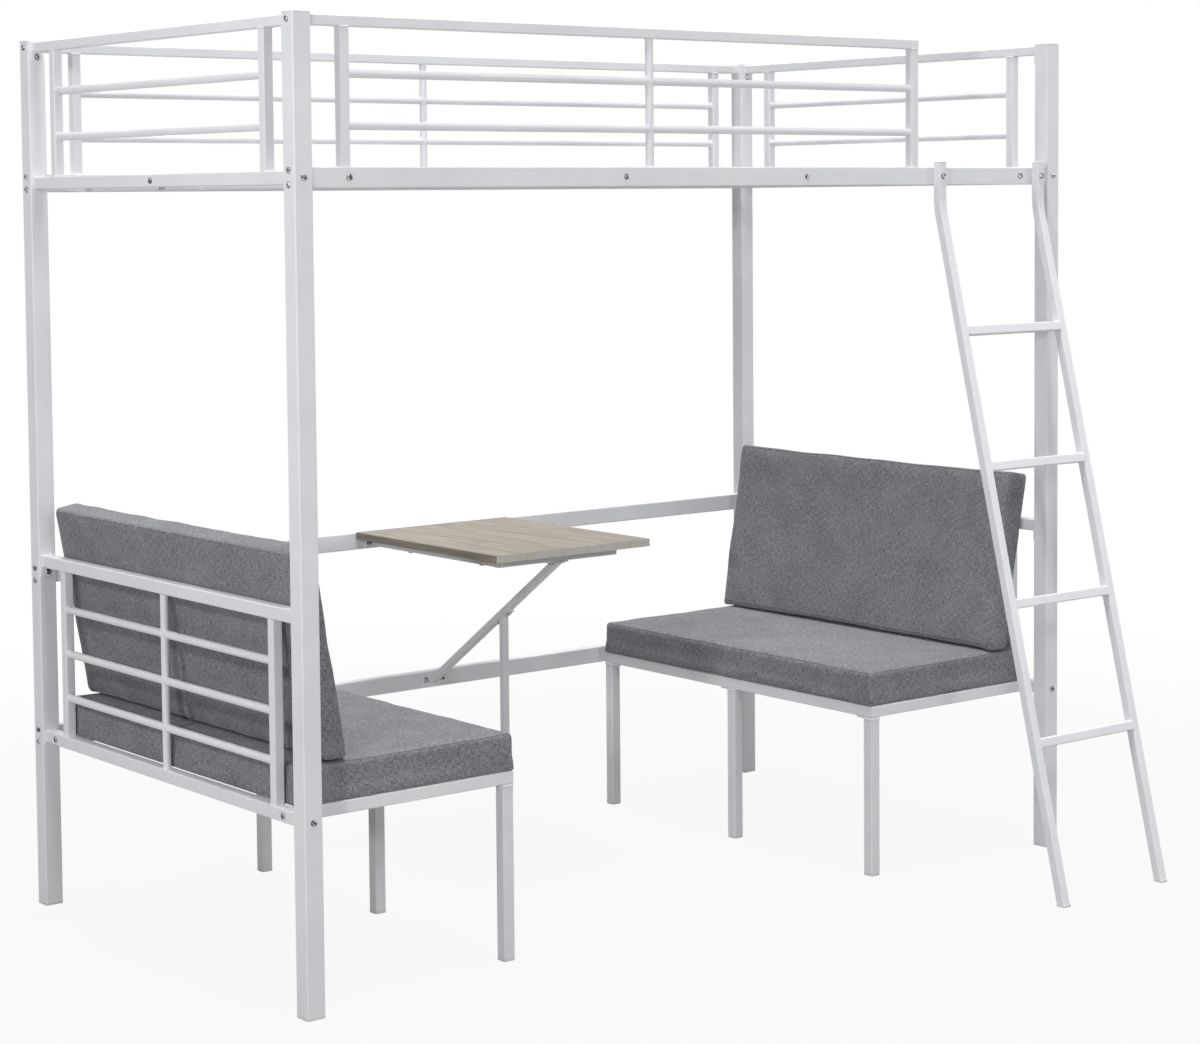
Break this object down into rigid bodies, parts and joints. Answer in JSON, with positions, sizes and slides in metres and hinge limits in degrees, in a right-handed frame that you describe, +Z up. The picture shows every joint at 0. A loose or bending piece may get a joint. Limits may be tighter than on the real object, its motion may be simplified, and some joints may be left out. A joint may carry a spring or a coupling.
{
  "type": "loft bunk bed with bench seats and table",
  "caption": "Steel loft bed with guard rails and a slanted ladder over facing cushioned bench seats and a small braced table.",
  "frame": {"origin": "on the floor under the middle of the whole, with the ladder's reach and the bolt heads counted in", "axes": "+X along the bed towards the ladder's end, +Y from the ladder's side to the back, +Z up"},
  "size_m": [1.996, 1.424, 1.8],
  "materials": {
    "white_steel": "satin white powder coat",
    "grey_fabric": "heather grey woven cloth",
    "board_wood": "pale grey-brown oak-look board",
    "white_plastic": "matte off-white",
    "dark_zinc": "dark zinc plating"
  },
  "bodies": {
    "bed": {"board_screws": "dark_zinc", "deck_bolts": "dark_zinc", "deck_centre_beam": "white_steel", "deck_slats_left": "white_steel", "deck_slats_middle": "white_steel", "deck_slats_right": "white_steel", "end_panel_bolts": "dark_zinc", "front_guard": "white_steel", "front_left_post": "white_steel", "front_right_post": "white_steel", "front_side_rail": "white_steel", "ladder_bolts": "dark_zinc", "ladder_feet": "white_plastic", "ladder_left_stile": "white_steel", "ladder_right_stile": "white_steel", "ladder_rung_1": "white_steel", "ladder_rung_2": "white_steel", "ladder_rung_3": "white_steel", "ladder_rung_4": "white_steel", "ladder_top_caps": "white_plastic", "left_lower_panel": "white_steel", "left_seat_frame": "white_steel", "left_seat_front_leg": "white_steel", "left_seat_middle_leg": "white_steel", "left_seat_rear_leg": "white_steel", "left_seat_slats": "white_steel", "left_upper_panel": "white_steel", "nuts": "dark_zinc", "panel_flange_bolts": "dark_zinc", "post_feet": "white_plastic", "post_top_caps": "white_plastic", "rail_bolts": "dark_zinc", "rear_guard": "white_steel", "rear_left_post": "white_steel", "rear_right_post": "white_steel", "rear_seat_rail": "white_steel", "rear_side_rail": "white_steel", "rear_table_rail": "white_steel", "right_lower_panel": "white_steel", "right_seat_frame": "white_steel", "right_seat_front_leg": "white_steel", "right_seat_middle_leg": "white_steel", "right_seat_rear_leg": "white_steel", "right_seat_slats": "white_steel", "right_upper_panel": "white_steel", "seat_bolts": "dark_zinc", "seat_leg_feet": "white_plastic", "table_bolts": "dark_zinc", "table_brace": "white_steel", "table_frame": "white_steel", "table_leg": "white_steel", "table_leg_foot": "white_plastic", "table_top": "board_wood", "threaded_blocks": "dark_zinc"},
    "left_seat_pad": {"left_seat_cushion": "grey_fabric"},
    "left_back_pad": {"left_back_cushion": "grey_fabric"},
    "right_seat_pad": {"right_seat_cushion": "grey_fabric"},
    "right_back_pad": {"right_back_cushion": "grey_fabric"}
  },
  "joints": [
    {"name": "left_seat_cushion_lift", "type": "slide", "parent": "bed", "child": "left_seat_pad", "axis": [0, 0, 1], "range_m": [0, 0.2]},
    {"name": "left_back_cushion_lift", "type": "slide", "parent": "left_seat_pad", "child": "left_back_pad", "axis": [0, 0, 1], "range_m": [0, 0.3]},
    {"name": "right_seat_cushion_lift", "type": "slide", "parent": "bed", "child": "right_seat_pad", "axis": [0, 0, 1], "range_m": [0, 0.2]},
    {"name": "right_back_cushion_lift", "type": "slide", "parent": "right_seat_pad", "child": "right_back_pad", "axis": [0, 0, 1], "range_m": [0, 0.3]}
  ]
}
